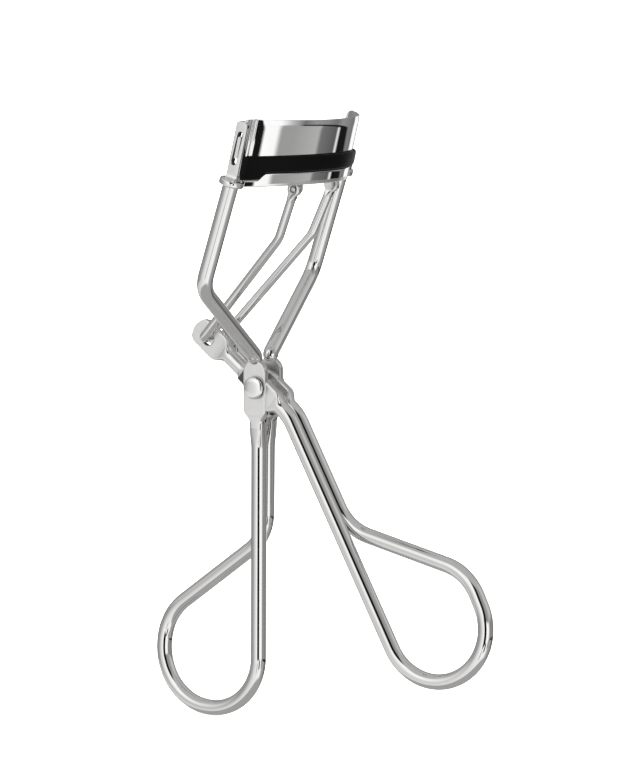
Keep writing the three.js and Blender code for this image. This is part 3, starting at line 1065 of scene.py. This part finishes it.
CHROME_WIRE = material("plated_wire", (0.76, 0.755, 0.745), (0.82, 0.815, 0.805), (0.03, 0.08), 2600, 0.03)
CHROME_SHEET = material("plated_sheet", (0.78, 0.775, 0.77), (0.84, 0.835, 0.83), (0.02, 0.05), 2200, 0.02)
PRESSED = material("pressed_face", (0.84, 0.835, 0.825), (0.92, 0.915, 0.905), (0.3, 0.42), 5200, 0.3)
RIVET_STEEL = material("rivet_steel", (0.86, 0.855, 0.85), (0.92, 0.915, 0.91), (0.14, 0.24), 4200, 0.15)
# Painted shade: a dark, dull colour laid where shade falls, on the slot walls, the walls of the rivet heads,
# the insides of the eyes and the lever's step.
PAINTED_SHADE = material(
    "painted_shade", (0.015, 0.015, 0.015), (0.04, 0.04, 0.04), (0.5, 0.7), 5200, 0.3, metallic=0.0, shine=0.2
)
RUBBER = material(
    "pad_rubber",
    (0.0008, 0.0008, 0.0008),
    (0.002, 0.0019, 0.0018),
    (0.38, 0.52),
    3600,
    0.25,
    metallic=0.0,
    shine=0.06,
)

# ---------------------------------------------------------------- stage

VIEW = {"azimuth": math.radians(-58.842), "elevation": math.radians(7.432), "distance": 628.1}
VIEW_TARGET = Vector((5.19, -8.085, -0.064))
LENS = 165.08
SENSOR = 36
ROOM_LIGHT = 2.2
FLOOR_GLOW = 0.6
KEY_LIGHT = {"size": (0.5, 0.35), "power": 3, "distance": 0.7, "left_of_camera": math.radians(40)}

# The studio that mirrors in the plating: light walls and windows with dark cards between them. A band
# goes all the way round at one height. Its stops are (degrees, brightness), with 0 towards the camera
# and positive angles to the camera's right.
DARK = 0.01
BLACK = 0.005
NADIR_BAND = [(-180, 0.42), (180, 0.42)]
DEEP_BAND = [
    *[(-180, 0.5), (-12, 1.0), (40, 1.15)],  # left wall and front window
    *[(60, 0.6), (66, 0.39), (88, 0.42), (115, 0.2), (130, 0.35), (180, 0.4)],  # dim right wall
]
LOW_BAND = [
    *[(-180, 0.5), (-110, 0.7), (-60, 0.8), (-18, 1.05)],  # left wall
    *[(-15, 0.45), (-9, 0.45)],  # a grey card
    *[(-6, 1.1), (8, 1.1), (10, DARK), (23, DARK)],  # front window and its dark edge
    *[(25, 1.2), (38, 1.15)],  # side window
    *[(43, 0.39), (57, 0.4), (88, 0.52), (92, 0.2), (115, 0.12)],  # right wall
    *[(116, 0.9), (119, 0.9), (120, BLACK), (136, BLACK), (148, 0.05)],  # a lit edge and a dark card
    *[(151, 1.2), (157, 1.1), (162, 0.35), (180, 0.4)],  # back window
]
HORIZON_BAND = [
    *[(-180, 0.5), (-110, 0.62), (-60, 0.75), (-12, 1.05)],  # left wall
    *[(8, 1.1), (10, DARK), (19, DARK)],  # front window and its dark edge
    *[(21, 1.2), (37, 1.15)],  # side window
    *[(44, 0.5), (60, 0.4), (66, 0.02), (146, DARK)],  # right wall, then a wide dark card
    *[(150, 1.2), (163, 1.1), (180, 0.4)],  # back window
]
LEVEL_BAND = [
    *[(-180, 0.3), (-150, 0.25), (-108, 0.36), (-88, 0.38)],  # dim back wall
    *[(-70, 0.62), (-52, 0.85), (-36, 1.05), (-20, 1.2)],  # left window
    *[(-18, BLACK), (9, BLACK)],  # the dark camera stand
    *[(12, 1.2), (40, 1.2)],  # side window
    *[(52, 0.6), (66, 0.2), (80, 0.36), (95, 0.3), (110, 0.2), (120, 0.33), (148, 0.2)],  # right wall
    *[(151, 1.2), (162, 1.1), (170, 0.3), (180, 0.25)],  # back window
]
HIGH_BAND = [
    *[(-180, 0.3), (-110, 0.45), (-80, 0.8), (-50, 1.15), (-16, 1.15)],  # left wall and window
    *[(-13, BLACK), (12, BLACK)],  # the dark camera stand
    *[(18, 0.3), (50, 0.4), (75, 0.65), (100, 0.65), (120, 0.4), (180, 0.3)],  # right wall
]
ZENITH_BAND = [(-180, 0.55), (180, 0.5)]

# Each band takes over from the one before it between two heights, in degrees over the horizon.
STUDIO = [
    (NADIR_BAND, None),
    (DEEP_BAND, (-44, -37)),
    (LOW_BAND, (-27, -25)),
    (HORIZON_BAND, (-17.5, -16)),
    (LEVEL_BAND, (-14.6, -13.4)),
    (HIGH_BAND, (8, 14)),
    (ZENITH_BAND, (38, 50)),
]


def ramp_of(tree, stops):
    """A colour ramp through (degrees, brightness) stops, from -180 to 180 degrees."""
    ramp = add_node(tree, "ShaderNodeValToRGB")
    elements = ramp.color_ramp.elements
    while len(elements) < len(stops):
        elements.new(0.5)
    for element, (degrees, brightness) in zip(elements, stops):
        element.position = (degrees + 180) / 360
        element.color = (brightness, brightness, brightness, 1)
    return ramp


def azimuth_share(tree, direction):
    """A direction's azimuth from the camera, as 0 to 1 for -180 to 180 degrees."""
    azimuth = VIEW["azimuth"]
    towards = Vector((math.sin(azimuth), -math.cos(azimuth), 0))
    right = Vector((math.cos(azimuth), math.sin(azimuth), 0))
    parts = []
    for axis in (right, towards):
        dot = add_node(tree, "ShaderNodeVectorMath", operation="DOT_PRODUCT")
        tree.links.new(direction, dot.inputs[0])
        dot.inputs[1].default_value = axis
        parts.append(dot.outputs["Value"])
    angle = math_node(tree, "ARCTAN2", *parts)
    return math_node(tree, "MULTIPLY_ADD", angle, 1 / (2 * math.pi), 0.5)


def studio_colour(tree, direction):
    """What the studio shows in a direction, one band blended over the next with height."""
    share = azimuth_share(tree, direction)
    split = add_node(tree, "ShaderNodeSeparateXYZ")
    tree.links.new(direction, split.inputs["Vector"])
    colour = None
    for stops, heights in STUDIO:
        ramp = ramp_of(tree, stops)
        tree.links.new(share, ramp.inputs["Fac"])
        band = ramp.outputs["Color"]
        if heights is None:
            colour = band
            continue
        change = [math.sin(math.radians(height)) for height in heights]
        rise = mapped(tree, split.outputs["Z"], change, kind="SMOOTHSTEP")
        colour = mixed(tree, rise, colour, band)
    return colour


def studio_world():
    """Plain white to the camera and to soft light, and the banded studio to mirrors."""
    world = bpy.data.worlds.new("studio")
    bpy.context.scene.world = world
    world.use_nodes = True
    world.cycles.sampling_method = "NONE"
    tree = world.node_tree
    place = add_node(tree, "ShaderNodeTexCoord")
    path = add_node(tree, "ShaderNodeLightPath")
    plain = math_node(tree, "MAXIMUM", path.outputs["Is Camera Ray"], path.outputs["Is Diffuse Ray"])
    white = (ROOM_LIGHT, ROOM_LIGHT, ROOM_LIGHT, 1)
    seen = mixed(tree, plain, studio_colour(tree, place.outputs["Generated"]), white)
    tree.links.new(seen, tree.nodes["Background"].inputs["Color"])


def floor():
    """A wide pale floor under the lowest point, left out of mirrors so that they show the studio. It is
    faintly lit from within, so that the contact shadow stays soft.
    """
    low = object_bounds()[0].z
    reach = 30
    bm = bmesh.new()
    corners = [(-reach, -reach), (reach, -reach), (reach, reach), (-reach, reach)]
    bm.faces.new([bm.verts.new((x, y, low)) for x, y in corners])
    ground = mesh_object("floor", bm)
    pale = material("pale_floor", (0.9, 0.9, 0.9), (0.92, 0.92, 0.92), (0.6, 0.8), 40, 0.0, 0.0)
    shader = pale.node_tree.nodes["Principled BSDF"]
    shader.inputs["Emission Color"].default_value = (1, 1, 1, 1)
    shader.inputs["Emission Strength"].default_value = FLOOR_GLOW
    ground.data.materials.append(pale)
    ground.visible_glossy = False
    ground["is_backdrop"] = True


def aimed(name, data, place, back):
    """A camera or a lamp at a place, pointing away from the direction of its back."""
    thing = bpy.data.objects.new(name, data)
    thing.location = place
    thing.rotation_mode = "QUATERNION"
    thing.rotation_quaternion = back.to_track_quat("Z", "Y")
    bpy.context.scene.collection.objects.link(thing)
    return thing


def camera():
    """The product view, from the front left and a little above."""
    azimuth, elevation = VIEW["azimuth"], VIEW["elevation"]
    level = math.cos(elevation)
    back = Vector((math.sin(azimuth) * level, -math.cos(azimuth) * level, math.sin(elevation)))
    data = bpy.data.cameras.new("camera")
    data.sensor_width = SENSOR
    data.lens = LENS
    data.clip_start = 0.01
    data.clip_end = 100
    place = PIVOT + MM * (VIEW_TARGET + back * VIEW["distance"])
    bpy.context.scene.camera = aimed("camera", data, place, back)


def key_light():
    """A large soft light, halfway up and to the camera's left, left out of mirrors."""
    data = bpy.data.lights.new("soft_key", "AREA")
    data.shape = "RECTANGLE"
    data.size, data.size_y = KEY_LIGHT["size"]
    data.energy = KEY_LIGHT["power"]
    azimuth = VIEW["azimuth"] - KEY_LIGHT["left_of_camera"]
    away = Vector((math.sin(azimuth), -math.cos(azimuth), 1)).normalized()
    lamp = aimed("soft_key", data, PIVOT + away * KEY_LIGHT["distance"], away)
    lamp.visible_glossy = False


# ---------------------------------------------------------------- the whole scene

frame_wire()
pivot_rivet()
moving_handle()
upper_jaw_plate()
lower_jaw()
lash_pad()
push_rod()

studio_world()
floor()
camera()
key_light()

bpy.context.scene.view_settings.view_transform = "Standard"
bpy.context.view_layer.update()
